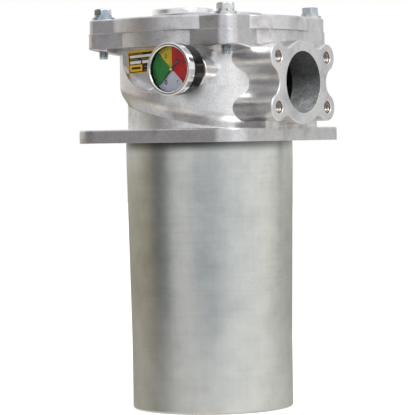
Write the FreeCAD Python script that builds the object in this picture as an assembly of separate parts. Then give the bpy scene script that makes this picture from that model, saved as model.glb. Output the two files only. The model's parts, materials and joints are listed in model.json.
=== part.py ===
import FreeCAD, Part
import math
import os

V = FreeCAD.Vector

# Tank top filter. Millimetres, +Z up. The origin is the centre of the tank flange's underside.
# The inlet port looks along +X, the gauge along -Y, and the cover bolts stand on the diagonals.
# Heights are written z, sizes across a round form are radii unless they say otherwise.

# Clearances
running_clearance = 0.05      # a stem or spindle that moves in its guide
thread_clearance = 0.05       # a threaded shank in its tapped hole, both plain at the outer diameter
fitting_clearance = 0.2       # a spigot in its bore
seal_clearance = 0.04         # an O-ring between its two walls
hole_clearance = 0.5          # a bolt in a plain hole

# Bowl. The head, the cover and the element take their size from its upper radius.
bowl_top_radius = 86.5
bowl_taper = 3.1              # how much narrower it is at the foot
bowl_wall = 1.8
bowl_length = 275.5
bowl_collar_height = 20.0
bowl_taper_end = 205.0        # below this depth it is straight
bowl_floor_round = 2.6
bowl_seal_groove_depth = 3.0
bowl_seal_groove_width = 3.8
bowl_seal_depth = 9.0         # below the flange
spigot_depth = 18.0
outlet_radius = 26.0
outlet_wall = 2.5
outlet_height = 28.5

# Neck, volute and the slanted ridge between them
neck_radius = bowl_top_radius - 2.5
volute_swell = 7.6            # how far the volute stands out beyond the neck
casting_wall = 7.8
ridge_height = 26.6           # foot of the ridge on the axis
ridge_flare = 36.0            # degrees from upright
ridge_slant = 12.1            # degrees, falling towards the port
ridge_round = 18.0
ridge_foot_round = 3.0
volute_radius = neck_radius + volute_swell
mouth_radius = volute_radius - casting_wall

# Tank flange
flange_margin = 19.0          # from the neck to the middle of the flange's edge
flange_thickness = 13.7
flange_corner = 25.0
flange_edge_round = 1.8
tank_hole_margin = 18.0       # from a hole's centre to the flange's edge
tank_hole_radius = 6.75
tank_seal_margin = 11.0       # from the neck to the middle of the seal
tank_seal_section = 2.0
flange_width = 2 * (neck_radius + flange_margin)
tank_hole_spacing = flange_width - 2 * tank_hole_margin
tank_seal_radius = neck_radius + tank_seal_margin

# Flat recesses on both sides for the gauge port and the plate
recess_cut = 19.1             # from the volute's widest line to the flat
recess_arc = 65.0             # its outline is an arc about a centre above it
recess_arc_z = 115.0
recess_depth = volute_radius - recess_cut

# Top ring of the head, with four lobes for the cover bolts
joint_z = 112.4               # the machined face between head and cover
ring_margin = 8.4             # how far the ring stands out beyond the volute
ring_under_z = 97.0           # underside at the tips of the lobes
ring_under_rise = 6.5         # how much lower the underside is at the volute
bolt_margin = 8.9             # from the ring's edge out to a bolt's centre
lobe_flank = 42.5             # degrees between a lobe's straight flanks and its diagonal
head_lobe_blend = 2.0
head_edge_round = 1.5
cover_seal_margin = 7.7       # from the head's mouth to the middle of the seal
cover_seal_section = 1.9
ring_radius = volute_radius + ring_margin
bolt_circle = ring_radius + bolt_margin
cover_seal_radius = mouth_radius + cover_seal_margin

# Cover
cover_thickness = 14.5
cover_overhang = 5.0          # how far its rim stands out beyond the ring
cover_lobe_nose = 14.1        # radius of a lobe's round end, which lies about its bolt
cover_lobe_blend = 1.5
cover_edge_round = 2.0
cover_roof = 8.5
cover_spigot_depth = 7.0
cover_spigot_wall = 9.0
plateau_radius = 57.5
plateau_height = 5.2
top_boss_radius = 32.0
top_boss_height = 12.2
top_boss_offset = 31.0        # from the axis, away from the port
top_boss_round = 2.0
spring_guide_height = 5.0
spring_guide_wall = 4.0
cover_radius = ring_radius + cover_overhang
head_lobe_nose = cover_lobe_nose + 1.0
head_lobe_reach = bolt_circle + head_lobe_nose

# Cover bolts with a plain and a split washer each
bolt_radius = 5.0
bolt_length = 45.0
bolt_head_flats = 16.0
bolt_head_height = 6.6
bolt_head_chamfer = 1.3
bolt_tip = 1.0
washer_radius = 11.8
washer_thickness = 2.5
lock_washer_radius = 9.1
lock_washer_thickness = 2.4
lock_washer_slit = 1.6
lock_washer_slant = 25.0      # degrees, of the slit

# Inlet port with its four-bolt flange face
port_stand = 26.4             # how far the face stands out beyond the volute
port_z = 58.9
port_bore = 31.4
port_tube_radius = 42.5
port_bolt_spacing_y = 88.9
port_bolt_spacing_z = 50.8
port_lobe_radius = 13.8
port_side_round = 15.0        # hollow between the upper and lower lobes
port_top_blend = 12.0         # hollow between a lobe and the round of the tube
port_reach = volute_radius + port_stand
port_root = volute_radius - 4 * casting_wall     # where the block starts, inside the body
port_tap_radius = 6.0
port_tap_depth = 27.0
port_tap_mouth = 0.7
port_edge_round = 1.0
web_half_width = 47.0

# Gauge and plug bosses
gauge_x = 45.5
gauge_z = 72.2
gauge_boss_radius = 14.5
gauge_boss_height = 15.5      # above the flat it stands on
gauge_boss_reach = recess_depth + gauge_boss_height
gauge_boss_round = 1.2
gauge_thread_radius = 6.58
gauge_thread_length = 12.0
gauge_passage_radius = 3.0
gauge_seal_thickness = 1.5
gauge_seal_radius = 9.6
gauge_hex_flats = 17.0
gauge_hex_length = 11.0
gauge_neck_radius = 6.0
gauge_neck_length = 4.0

# Gauge case, window, dial and pointer
case_radius = 25.0
case_depth = 25.0
case_wall = 1.0
case_back = 1.5
case_edge_round = 2.0
dial_ledge = 1.5
dial_depth = 19.7             # from the back of the case to the dial's seat
dial_thickness = 0.8
spacer_height = 3.5
spacer_wall = 0.8
window_thickness = 1.5
bezel_wall = 1.15
bezel_lip = 2.6
bezel_lip_thickness = 2.0
bezel_length = 12.0
bezel_round = 1.0
spindle_radius = 1.0
spindle_cap_radius = 1.5
spindle_cap_height = 0.7
pointer_gap = 0.9             # from the dial to the pointer
pointer_thickness = 0.5
pointer_length = 19.0
pointer_tail = 9.6
pointer_half_width = 0.95
pointer_tip_half_width = 0.3
pointer_hub_radius = 2.2
pointer_weight_radius = 2.1
pointer_rest_angle = 228.0    # degrees, counted as on a clock face turned back from three o'clock

# Plug in the spare gauge port
plug_collar_radius = 9.4
plug_collar_height = 3.0
plug_hex_flats = 13.0
plug_hex_height = 7.0

# Rating plate
plate_width = 50.0
plate_height = 23.5
plate_thickness = 0.4
plate_x = -23.6
plate_z = 83.6
plate_corner = 2.5
plate_turn = 3.0              # degrees

# Filter element
dirty_side_gap = 15.7         # from the neck's wall to the element
element_radius = neck_radius - casting_wall - dirty_side_gap
element_top_z = 84.0          # underside of the top cap
cap_thickness = 1.6
cap_skirt = 9.0
core_radius = 34.0
core_wall = 1.5
core_slot_rows = 7
core_slots_round = 6
core_slot_width = 9.0
core_slot_height = 22.0
pleat_count = 40
pleat_gap = 1.2               # from the core and from the skirts
pleat_thickness = 0.9
neck_wall = 4.0
neck_gap = 0.5                # between the cap's neck and the outlet
neck_length = 15.0
element_seal_groove_depth = 2.4
element_seal_groove_width = 3.6
element_seal_drop = 8.0
bottom_cap_hole = 22.0

# Springs and bypass valve in the top cap
hold_spring_radius = 27.0
hold_spring_wire = 1.6
hold_spring_turns = 3
seat_bore = 14.0
seat_tube_radius = 19.0
seat_flange_radius = 23.0
seat_flange_thickness = 2.5
seat_drop = 8.0               # from the cap's top to the sealing face
poppet_radius = 16.5
poppet_thickness = 3.0
poppet_stem_radius = 3.5
poppet_stem_length = 38.0
cage_wall = 2.5
cage_overlap = 6.0            # how far the cage's ring goes up round the seat
cage_length = 30.0            # from the sealing face to the cage's floor
cage_floor = 3.0
cage_leg_width = 8.0
cage_legs = 4
bypass_spring_radius = 9.0
bypass_spring_wire = 1.1
bypass_spring_turns = 5

# Heights and distances that follow from the sizes above
cover_top_z = joint_z + cover_thickness
cover_roof_z = cover_top_z - cover_roof
lock_washer_z = cover_top_z + washer_thickness
bolt_seat_z = lock_washer_z + lock_washer_thickness
bowl_foot_radius = bowl_top_radius - bowl_taper
bowl_floor_z = -bowl_length + bowl_wall
outlet_top_z = -bowl_length + outlet_height
element_foot_z = outlet_top_z + cap_thickness
cap_top_z = element_top_z + cap_thickness
seal_face_z = cap_top_z - seat_drop
cage_floor_z = seal_face_z - cage_length
case_back_y = gauge_boss_reach + gauge_seal_thickness + gauge_hex_length + gauge_neck_length
dial_back_y = case_back_y + dial_depth
dial_face_y = dial_back_y + dial_thickness
window_back_y = dial_face_y + spacer_height
case_front_y = case_back_y + case_depth
case_inner_radius = case_radius - case_wall
beyond = 40.0                 # how far a cutting form runs past what it cuts


def outline(corners):
    # A closed outline. Each corner is a point and the radius of its tangent round, or 0.
    ends = []
    count = len(corners)
    for i, (corner, radius) in enumerate(corners):
        before = (corners[i - 1][0] - corner).normalize()
        after = (corners[(i + 1) % count][0] - corner).normalize()
        half = before.getAngle(after) / 2
        trim = radius / math.tan(half)
        middle = corner + (before + after).normalize() * (radius / math.sin(half) - radius)
        ends.append((corner + before * trim, middle, corner + after * trim))
    edges = []
    for i, (start, middle, end) in enumerate(ends):
        following = ends[(i + 1) % count][0]
        if corners[i][1] > 0:
            edges.append(Part.Arc(start, middle, end).toShape())
        edges.append(Part.makeLine(end, following))
    return Part.Wire(edges)


def turned(profile):
    # A form turned about Z. The profile's corners are (radius, height) or (radius, height, round).
    corners = [(V(p[0], 0, p[1]), p[2] if len(p) > 2 else 0) for p in profile]
    return Part.Face(outline(corners)).revolve(V(0, 0, 0), V(0, 0, 1), 360)


def disc(radius, low, high):
    return Part.makeCylinder(radius, high - low, V(0, 0, low))


def tube(outer, inner, low, high):
    return disc(outer, low, high).cut(disc(inner, low, high))


def o_ring(radius, section, z):
    return Part.makeTorus(radius, section, V(0, 0, z))


def block(x0, x1, y0, y1, z0, z1):
    return Part.makeBox(x1 - x0, y1 - y0, z1 - z0, V(x0, y0, z0))


def hexagon(flats, low, high):
    corner = flats / 2 / math.cos(math.radians(30))
    points = [V(corner, 0, low)]
    for i in range(1, 7):
        turn = math.radians(60 * i)
        points.append(V(corner * math.cos(turn), corner * math.sin(turn), low))
    return Part.Face(Part.makePolygon(points)).extrude(V(0, 0, high - low))


def sideways(shape, side, x=0.0, z=0.0):
    # Lays a form turned about Z down, so that its axis points along -Y (side -1) or +Y (side 1).
    laid = shape.copy()
    laid.rotate(V(0, 0, 0), V(1, 0, 0), -90 * side)
    laid.translate(V(x, 0, z))
    return laid


def at_diagonals(shape):
    # Four copies, one on each diagonal, of a form made on the +X axis.
    copies = []
    for i in range(4):
        copy = shape.copy()
        copy.rotate(V(0, 0, 0), V(0, 0, 1), 45 + 90 * i)
        copies.append(copy)
    return copies


def coil(radius, wire, low, high, turns):
    # A spring wound between two seats, with both ends ground flat.
    helix = Part.makeHelix((high - low) / turns, high - low, radius)
    helix.translate(V(0, 0, low))
    section = Part.Wire(Part.makeCircle(wire, V(radius, 0, low), V(0, 1, 0)))
    wound = Part.Wire(helix.Edges).makePipeShell([section], True, True)
    return wound.common(disc(radius + beyond, low, high))


def upright_edges(shape, away):
    # The upright edges near the diagonals that lie at one distance from the axis.
    found = []
    for edge in shape.Edges:
        ends = [vertex.Point for vertex in edge.Vertexes]
        if len(ends) == 2 and math.hypot(ends[0].x - ends[1].x, ends[0].y - ends[1].y) < 0.01:
            turn = math.degrees(math.atan2(ends[0].y, ends[0].x)) % 90
            if abs(math.hypot(ends[0].x, ends[0].y) - away) < 0.01 and abs(turn - 45) < 40:
                found.append(edge)
    return found


def level_edges(shape, z):
    box = [(edge, edge.BoundBox) for edge in shape.Edges]
    return [edge for edge, b in box if abs(b.ZMin - z) < 0.01 and abs(b.ZMax - z) < 0.01]


def lobed_plate(radius, nose, blend, low, high):
    # A round plate with four lobes on the diagonals. Each lobe has a round nose about its bolt and
    # two straight flanks that spread towards the plate.
    apex = bolt_circle + nose / math.sin(math.radians(lobe_flank))
    root = bolt_circle - 3 * nose
    half = (apex - root) * math.tan(math.radians(lobe_flank))
    corners = [(V(apex, 0, low), nose), (V(root, half, low), 0), (V(root, -half, low), 0)]
    lobe = Part.Face(outline(corners)).extrude(V(0, 0, high - low))
    plate = disc(radius, low, high).fuse(at_diagonals(lobe)).removeSplitter()
    return plate.makeFillet(blend, upright_edges(plate, radius))


def volute_form(inset, low, high):
    # The neck and the wider volute above it. Turned upright first, then every height is sheared
    # along X, which slants the ridge and leaves the walls upright. Inset gives the form inside.
    neck = neck_radius - inset
    wide = volute_radius - inset
    foot = ridge_height + inset * math.tan(math.radians(ridge_flare / 2))
    shoulder = foot + (wide - neck) / math.tan(math.radians(ridge_flare))
    shear = math.tan(math.radians(ridge_slant))
    form = turned([(0, low - beyond), (neck, low - beyond), (neck, foot, ridge_foot_round + inset),
                   (wide, shoulder, ridge_round - inset), (wide, high + beyond), (0, high + beyond)])
    matrix = FreeCAD.Matrix()
    matrix.A31 = -shear
    return form.transformGeometry(matrix).common(disc(volute_radius + beyond, low, high))


def recess_form(grow):
    # What is cut away for the flat on one side. Grown by the wall it keeps the cavity off it.
    arc = disc(recess_arc + grow, recess_depth - grow, volute_radius + beyond)
    cut = sideways(arc, -1, 0, recess_arc_z)
    reach = volute_radius + beyond
    return cut.common(block(-reach, reach, -reach, 0, 0, ring_under_z + grow))


def both_sides(shape):
    return shape.fuse(shape.mirror(V(0, 0, 0), V(0, 1, 0)))


def tank_flange():
    half = flange_width / 2
    plate = block(-half, half, -half, half, 0, flange_thickness)
    upright = [e for e in plate.Edges if abs(e.BoundBox.ZLength - flange_thickness) < 0.01]
    plate = plate.makeFillet(flange_corner, upright)
    return plate.makeFillet(flange_edge_round, level_edges(plate, flange_thickness))


def bowl_spigot():
    radius = bowl_top_radius - bowl_wall - fitting_clearance
    groove = tube(radius + 1, radius - bowl_seal_groove_depth,
                  -bowl_seal_depth - bowl_seal_groove_width / 2,
                  -bowl_seal_depth + bowl_seal_groove_width / 2)
    return disc(radius, -spigot_depth, flange_thickness / 2).cut(groove)


def lower_rim(ring):
    # The edges round the outside of the ring's underside.
    found = []
    for edge in ring.Edges:
        b = edge.BoundBox
        ends = [math.hypot(vertex.X, vertex.Y) for vertex in edge.Vertexes]
        if b.ZMax < ring_under_z + 1 and min(ends) > ring_radius - 0.01:
            found.append(edge)
    return found


def lobed_ring():
    # The top ring. Its underside falls from the tips of the lobes to the volute.
    low = ring_under_z - ring_under_rise
    plate = lobed_plate(ring_radius, head_lobe_nose, head_lobe_blend, low, joint_z)
    beneath = turned([(volute_radius, low - 1), (head_lobe_reach + 1, low - 1),
                      (head_lobe_reach + 1, ring_under_z), (volute_radius, low)])
    ring = plate.cut(beneath)
    return ring.makeFillet(head_edge_round, lower_rim(ring))


def blend_centre(a, ra, b, rb, r, side):
    # Centre of the arc of radius r that touches two circles in the YZ plane from outside.
    span = b - a
    distance = span.Length
    along = ((ra + r) ** 2 - (rb + r) ** 2 + distance ** 2) / (2 * distance)
    across = math.sqrt((ra + r) ** 2 - along ** 2) * side
    unit = span / distance
    return a + unit * along + V(0, -unit.z, unit.y) * across


def arc_between(centre, radius, start, end):
    # The shorter arc of a circle in the YZ plane between two points on it.
    middle = centre + ((start - centre) + (end - centre)).normalize() * radius
    return Part.Arc(start, middle, end).toShape()


def port_block():
    # The face has four bolt lobes. The round of the tube stands out above and below them, and
    # hollows lie between the lobes and beside the tube.
    centre = V(port_root, 0, port_z)
    lobe = V(port_root, port_bolt_spacing_y / 2, port_z + port_bolt_spacing_z / 2)
    mate = V(port_root, port_bolt_spacing_y / 2, port_z - port_bolt_spacing_z / 2)
    side_mid = blend_centre(mate, port_lobe_radius, lobe, port_lobe_radius, port_side_round, -1)
    top_mid = blend_centre(centre, port_tube_radius, lobe, port_lobe_radius, port_top_blend, 1)
    side_start = V(port_root, side_mid.y - port_side_round, port_z)
    side_end = lobe + (side_mid - lobe).normalize() * port_lobe_radius
    lobe_end = lobe + (top_mid - lobe).normalize() * port_lobe_radius
    tube_start = centre + (top_mid - centre).normalize() * port_tube_radius
    tube_end = V(port_root, 0, port_z + port_tube_radius)
    outer = lobe + (lobe - centre).normalize() * port_lobe_radius
    quarter = [arc_between(side_mid, port_side_round, side_start, side_end),
               Part.Arc(side_end, outer, lobe_end).toShape(),
               arc_between(top_mid, port_top_blend, lobe_end, tube_start),
               arc_between(centre, port_tube_radius, tube_start, tube_end)]
    edges = []
    for flip_y in (1, -1):
        for flip_z in (1, -1):
            matrix = FreeCAD.Matrix()
            matrix.A22 = flip_y
            matrix.A33 = flip_z
            matrix.A34 = port_z * (1 - flip_z)
            edges += [edge.transformGeometry(matrix) for edge in quarter]
    wire = Part.Wire(Part.sortEdges(edges)[0])
    solid = Part.Face(wire).extrude(V(port_reach - port_root, 0, 0))
    front = [e for e in solid.Edges if abs(e.BoundBox.XMin - port_reach) < 0.01]
    return solid.makeFillet(port_edge_round, front)


def port_holes():
    # The inlet bore and the four tapped holes round it.
    cuts = [disc(port_bore, port_root - 20, port_reach + 1)]
    for y in (-port_bolt_spacing_y / 2, port_bolt_spacing_y / 2):
        for z in (-port_bolt_spacing_z / 2, port_bolt_spacing_z / 2):
            tap = turned([(0, port_reach - port_tap_depth), (port_tap_radius, port_reach - port_tap_depth),
                          (port_tap_radius, port_reach - port_tap_mouth),
                          (port_tap_radius + port_tap_mouth + 0.1, port_reach + 0.1),
                          (0, port_reach + 0.1)])
            tap.translate(V(-z, y, 0))
            cuts.append(tap)
    laid = []
    for cut in cuts:
        cut.rotate(V(0, 0, 0), V(0, 1, 0), 90)
        cut.translate(V(0, 0, port_z))
        laid.append(cut)
    return laid


def gauge_boss():
    return turned([(0, recess_depth - casting_wall + 1), (gauge_boss_radius, recess_depth - casting_wall + 1),
                   (gauge_boss_radius, gauge_boss_reach, gauge_boss_round), (0, gauge_boss_reach)])


def gauge_port():
    tapped = disc(gauge_thread_radius + thread_clearance, gauge_boss_reach - gauge_thread_length - 2,
                  gauge_boss_reach + 1)
    return tapped.fuse(disc(gauge_passage_radius, recess_depth - casting_wall - beyond, gauge_boss_reach))


def filter_head():
    body = volute_form(0, flange_thickness / 2, ring_under_z).fuse(lobed_ring())
    body = body.cut(both_sides(recess_form(0)))
    web = block(port_root, flange_width / 2, -web_half_width, web_half_width,
                flange_thickness / 2, port_z - port_bolt_spacing_z / 2)
    parts = [tank_flange(), bowl_spigot(), port_block(), web]
    parts += [sideways(gauge_boss(), side, gauge_x, gauge_z) for side in (-1, 1)]
    head = body.fuse(parts)
    cavity = volute_form(casting_wall, -spigot_depth - 1, joint_z + 1)
    head = head.cut(cavity.cut(both_sides(recess_form(casting_wall))))
    cuts = port_holes()
    cuts += [sideways(gauge_port(), side, gauge_x, gauge_z) for side in (-1, 1)]
    spacing = tank_hole_spacing / 2
    for x in (-spacing, spacing):
        for y in (-spacing, spacing):
            hole = disc(tank_hole_radius, -1, flange_thickness + 1)
            hole.translate(V(x, y, 0))
            cuts.append(hole)
    thread = disc(bolt_radius + thread_clearance, ring_under_z - 2 * ring_under_rise, joint_z + 1)
    thread.translate(V(bolt_circle, 0, 0))
    cuts += at_diagonals(thread)
    for radius, section, low, high in (
            (tank_seal_radius, tank_seal_section, -1, 2 * tank_seal_section + 2 * seal_clearance),
            (cover_seal_radius, cover_seal_section,
             joint_z - 2 * cover_seal_section - 2 * seal_clearance, joint_z + 1)):
        half = section + seal_clearance + 0.3
        cuts.append(tube(radius + half, radius - half, low, high))
    return head.cut(cuts).removeSplitter()


def tank_seal():
    return o_ring(tank_seal_radius, tank_seal_section, tank_seal_section + seal_clearance)


def cover_seal():
    return o_ring(cover_seal_radius, cover_seal_section, joint_z - cover_seal_section - seal_clearance)


def bowl_seal():
    wall = bowl_top_radius - bowl_wall
    floor = wall - fitting_clearance - bowl_seal_groove_depth
    return o_ring((wall + floor) / 2, (wall - floor) / 2 - seal_clearance, -bowl_seal_depth)


def cover():
    plate = lobed_plate(cover_radius, cover_lobe_nose, cover_lobe_blend, joint_z, cover_top_z)
    plate = plate.makeFillet(cover_edge_round, level_edges(plate, cover_top_z))
    plateau = turned([(0, cover_roof_z), (plateau_radius, cover_roof_z),
                      (plateau_radius, cover_top_z + plateau_height, 1.5),
                      (0, cover_top_z + plateau_height)])
    boss = turned([(0, cover_roof_z), (top_boss_radius, cover_roof_z),
                   (top_boss_radius, cover_top_z + top_boss_height, top_boss_round),
                   (0, cover_top_z + top_boss_height)])
    boss.translate(V(-top_boss_offset, 0, 0))
    spigot_radius = mouth_radius - fitting_clearance
    spigot = disc(spigot_radius, joint_z - cover_spigot_depth, joint_z + 1)
    hollow = turned([(0, joint_z - cover_spigot_depth - 1),
                     (spigot_radius - cover_spigot_wall, joint_z - cover_spigot_depth - 1),
                     (spigot_radius - cover_spigot_wall, cover_roof_z, 4), (0, cover_roof_z)])
    guide_radius = hold_spring_radius - 1.5 * hold_spring_wire
    guide = tube(guide_radius, guide_radius - spring_guide_wall,
                 cover_roof_z - spring_guide_height, cover_roof_z + 1)
    hole = disc(bolt_radius + hole_clearance, joint_z - 1, cover_top_z + 1)
    hole.translate(V(bolt_circle, 0, 0))
    lid = plate.fuse([plateau, boss, spigot]).cut(hollow).fuse(guide)
    return lid.cut(at_diagonals(hole)).removeSplitter()


def cover_bolts():
    foot = bolt_seat_z - bolt_length
    shank = turned([(0, foot), (bolt_radius - bolt_tip, foot), (bolt_radius, foot + bolt_tip),
                    (bolt_radius, bolt_seat_z + 1), (0, bolt_seat_z + 1)])
    corner = bolt_head_flats / 2 / math.cos(math.radians(30))
    top = bolt_seat_z + bolt_head_height
    turned_head = turned([(0, bolt_seat_z), (corner + 1, bolt_seat_z), (corner + 1, top - bolt_head_chamfer),
                          (corner - bolt_head_chamfer, top), (0, top)])
    head = hexagon(bolt_head_flats, bolt_seat_z, top).common(turned_head)
    bolt = shank.fuse(head).removeSplitter()
    bolt.translate(V(bolt_circle, 0, 0))
    return Part.makeCompound(at_diagonals(bolt))


def cover_washers():
    washer = tube(washer_radius, bolt_radius + hole_clearance / 2, cover_top_z, lock_washer_z)
    washer.translate(V(bolt_circle, 0, 0))
    return Part.makeCompound(at_diagonals(washer))


def spring_washers():
    # Split rings, pressed flat under the bolt heads.
    ring = tube(lock_washer_radius, bolt_radius + hole_clearance / 2, lock_washer_z, bolt_seat_z)
    slit = block(0, lock_washer_radius + 1, -lock_washer_slit / 2, lock_washer_slit / 2,
                 lock_washer_z - lock_washer_thickness, bolt_seat_z + lock_washer_thickness)
    slit.rotate(V(0, 0, (lock_washer_z + bolt_seat_z) / 2), V(1, 0, 0), lock_washer_slant)
    ring = ring.cut(slit)
    ring.translate(V(bolt_circle, 0, 0))
    return Part.makeCompound(at_diagonals(ring))


def bowl():
    # Drawn steel. The outlet's neck is turned up inside, where the element's neck goes over it.
    inner = bowl_top_radius - bowl_wall
    foot = bowl_foot_radius - bowl_wall
    neck = outlet_radius + outlet_wall
    return turned([(inner, 0), (bowl_top_radius, 0), (bowl_top_radius, -bowl_collar_height),
                   (bowl_foot_radius, -bowl_taper_end), (bowl_foot_radius, -bowl_length, bowl_floor_round),
                   (outlet_radius, -bowl_length), (outlet_radius, outlet_top_z),
                   (neck, outlet_top_z), (neck, bowl_floor_z), (foot, bowl_floor_z),
                   (foot, -bowl_taper_end), (inner, -bowl_collar_height)])


def element_top_cap():
    hole = seat_tube_radius + hole_clearance / 2
    inner = element_radius - cap_thickness
    return turned([(hole, element_top_z), (hole, cap_top_z), (element_radius, cap_top_z, 2.0),
                   (element_radius, element_top_z - cap_skirt), (inner, element_top_z - cap_skirt),
                   (inner, element_top_z)])


def element_bottom_cap():
    neck_inner = outlet_radius + outlet_wall + neck_gap
    neck_outer = neck_inner + neck_wall
    inner = element_radius - cap_thickness
    cap = turned([(bottom_cap_hole, outlet_top_z), (neck_inner, outlet_top_z),
                  (neck_inner, outlet_top_z - neck_length), (neck_outer, outlet_top_z - neck_length),
                  (neck_outer, outlet_top_z), (element_radius, outlet_top_z, 2.0),
                  (element_radius, element_foot_z + cap_skirt), (inner, element_foot_z + cap_skirt),
                  (inner, element_foot_z), (bottom_cap_hole, element_foot_z)])
    middle = outlet_top_z - element_seal_drop
    groove = disc(neck_inner + element_seal_groove_depth, middle - element_seal_groove_width / 2,
                  middle + element_seal_groove_width / 2)
    return cap.cut(groove)


def element_seal():
    inner = outlet_radius + outlet_wall
    outer = inner + neck_gap + element_seal_groove_depth
    return o_ring((inner + outer) / 2, (outer - inner) / 2 - seal_clearance,
                  outlet_top_z - element_seal_drop)


def element_core():
    core = tube(core_radius, core_radius - core_wall, element_foot_z, element_top_z)
    pitch = (element_top_z - element_foot_z) / core_slot_rows
    slots = []
    for row in range(core_slot_rows):
        low = element_foot_z + pitch * (row + 0.5) - core_slot_height / 2
        for i in range(core_slots_round):
            slot = block(core_radius - 2 * core_wall, core_radius + core_wall,
                         -core_slot_width / 2, core_slot_width / 2, low, low + core_slot_height)
            slot.rotate(V(0, 0, 0), V(0, 0, 1), 360 * (i + row % 2 / 2) / core_slots_round)
            slots.append(slot)
    return core.cut(slots)


def element_pleats():
    # One band folded to and fro between the core and the skirts of the caps.
    outer = element_radius - cap_thickness - pleat_gap
    inner = core_radius + pleat_gap
    fold = math.atan(math.pi * (outer + inner) / 2 / pleat_count / (outer - inner))
    reach = pleat_thickness / math.sin(fold)
    rims = []
    for crest, valley in ((outer, inner + reach), (outer - reach, inner)):
        points = []
        for i in range(2 * pleat_count + 1):
            turn = math.pi * i / pleat_count
            away = valley if i % 2 else crest
            points.append(V(away * math.cos(turn), away * math.sin(turn), element_foot_z))
        rims.append(Part.Face(Part.makePolygon(points)))
    return rims[0].cut(rims[1]).Faces[0].extrude(V(0, 0, element_top_z - element_foot_z))


def hold_down_spring():
    return coil(hold_spring_radius, hold_spring_wire, cap_top_z, cover_roof_z, hold_spring_turns)


def bypass_seat():
    top = cap_top_z + seat_flange_thickness
    return turned([(seat_bore, seal_face_z), (seat_bore, top), (seat_flange_radius, top, 1.0),
                   (seat_flange_radius, cap_top_z), (seat_tube_radius, cap_top_z),
                   (seat_tube_radius, seal_face_z)])


def bypass_cage():
    inner = seat_tube_radius + thread_clearance
    outer = inner + cage_wall
    floor_top = cage_floor_z + cage_floor
    cup = disc(outer, cage_floor_z, seal_face_z + cage_overlap)
    cup = cup.cut(disc(inner, floor_top, seal_face_z + cage_overlap))
    cup = cup.cut(disc(poppet_stem_radius + running_clearance, cage_floor_z, floor_top))
    window = tube(outer + 1, inner - 1, floor_top, seal_face_z - 1)
    for i in range(cage_legs // 2):
        leg = block(-outer - 2, outer + 2, -cage_leg_width / 2, cage_leg_width / 2,
                    cage_floor_z, seal_face_z)
        leg.rotate(V(0, 0, 0), V(0, 0, 1), 360 * i / cage_legs)
        window = window.cut(leg)
    return cup.cut(window)


def bypass_poppet():
    back = seal_face_z - poppet_thickness
    foot = back - poppet_stem_length
    return turned([(0, foot), (poppet_stem_radius, foot, 1.0), (poppet_stem_radius, back),
                   (poppet_radius, back), (poppet_radius, seal_face_z), (0, seal_face_z)])


def bypass_spring():
    return coil(bypass_spring_radius, bypass_spring_wire, cage_floor_z + cage_floor,
                seal_face_z - poppet_thickness, bypass_spring_turns)


def sealing_washer():
    return tube(gauge_seal_radius, gauge_thread_radius + thread_clearance, gauge_boss_reach,
                gauge_boss_reach + gauge_seal_thickness)


def gauge_seal():
    return sideways(sealing_washer(), -1, gauge_x, gauge_z)


def port_plug_seal():
    return sideways(sealing_washer(), 1, gauge_x, gauge_z)


def port_plug():
    seat = gauge_boss_reach + gauge_seal_thickness
    collar = turned([(0, seat), (plug_collar_radius, seat),
                     (plug_collar_radius, seat + plug_collar_height, 0.6),
                     (0, seat + plug_collar_height)])
    thread = disc(gauge_thread_radius, gauge_boss_reach - gauge_thread_length, seat)
    head = hexagon(plug_hex_flats, seat + plug_collar_height,
                   seat + plug_collar_height + plug_hex_height)
    return sideways(collar.fuse([thread, head]).removeSplitter(), 1, gauge_x, gauge_z)


def gauge_stem():
    seat = gauge_boss_reach + gauge_seal_thickness
    thread = disc(gauge_thread_radius, gauge_boss_reach - gauge_thread_length, seat)
    hexagonal = hexagon(gauge_hex_flats, seat, seat + gauge_hex_length)
    neck = disc(gauge_neck_radius, seat + gauge_hex_length, case_back_y + case_back)
    passage = disc(gauge_passage_radius / 2, seat - beyond, case_back_y + case_back + 1)
    stem = thread.fuse([hexagonal, neck]).cut(passage).removeSplitter()
    return sideways(stem, -1, gauge_x, gauge_z)


def gauge_case():
    # A cup with a ledge inside its mouth for the dial.
    hole = gauge_neck_radius + thread_clearance
    ledge = case_inner_radius - dial_ledge
    case = turned([(hole, case_back_y), (case_radius, case_back_y, case_edge_round),
                   (case_radius, case_front_y), (case_inner_radius, case_front_y),
                   (case_inner_radius, dial_back_y), (ledge, dial_back_y),
                   (ledge, case_back_y + case_back, 1.0), (hole, case_back_y + case_back)])
    return sideways(case, -1, gauge_x, gauge_z)


def gauge_movement():
    # The plate that carries the spindle, on two pillars from the back of the case.
    low = case_back_y + case_back
    plate_low = dial_back_y - 6
    plate = block(-15, 15, -5, 5, plate_low, plate_low + 2)
    pillars = []
    for x in (-11, 11):
        pillar = disc(2.5, low, plate_low)
        pillar.translate(V(x, 0, 0))
        pillars.append(pillar)
    plate = plate.fuse(pillars).cut(disc(spindle_radius + running_clearance, low, dial_back_y))
    return sideways(plate.removeSplitter(), -1, gauge_x, gauge_z)


def gauge_dial():
    dial = tube(case_inner_radius - fitting_clearance / 2, spindle_radius + hole_clearance,
                dial_back_y, dial_face_y)
    return sideways(dial, -1, gauge_x, gauge_z)


def gauge_spacer():
    outer = case_inner_radius - fitting_clearance / 2
    return sideways(tube(outer, outer - spacer_wall, dial_face_y, window_back_y), -1, gauge_x, gauge_z)


def gauge_window():
    window = disc(case_inner_radius - fitting_clearance / 2, window_back_y,
                  window_back_y + window_thickness)
    return sideways(window, -1, gauge_x, gauge_z)


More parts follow.
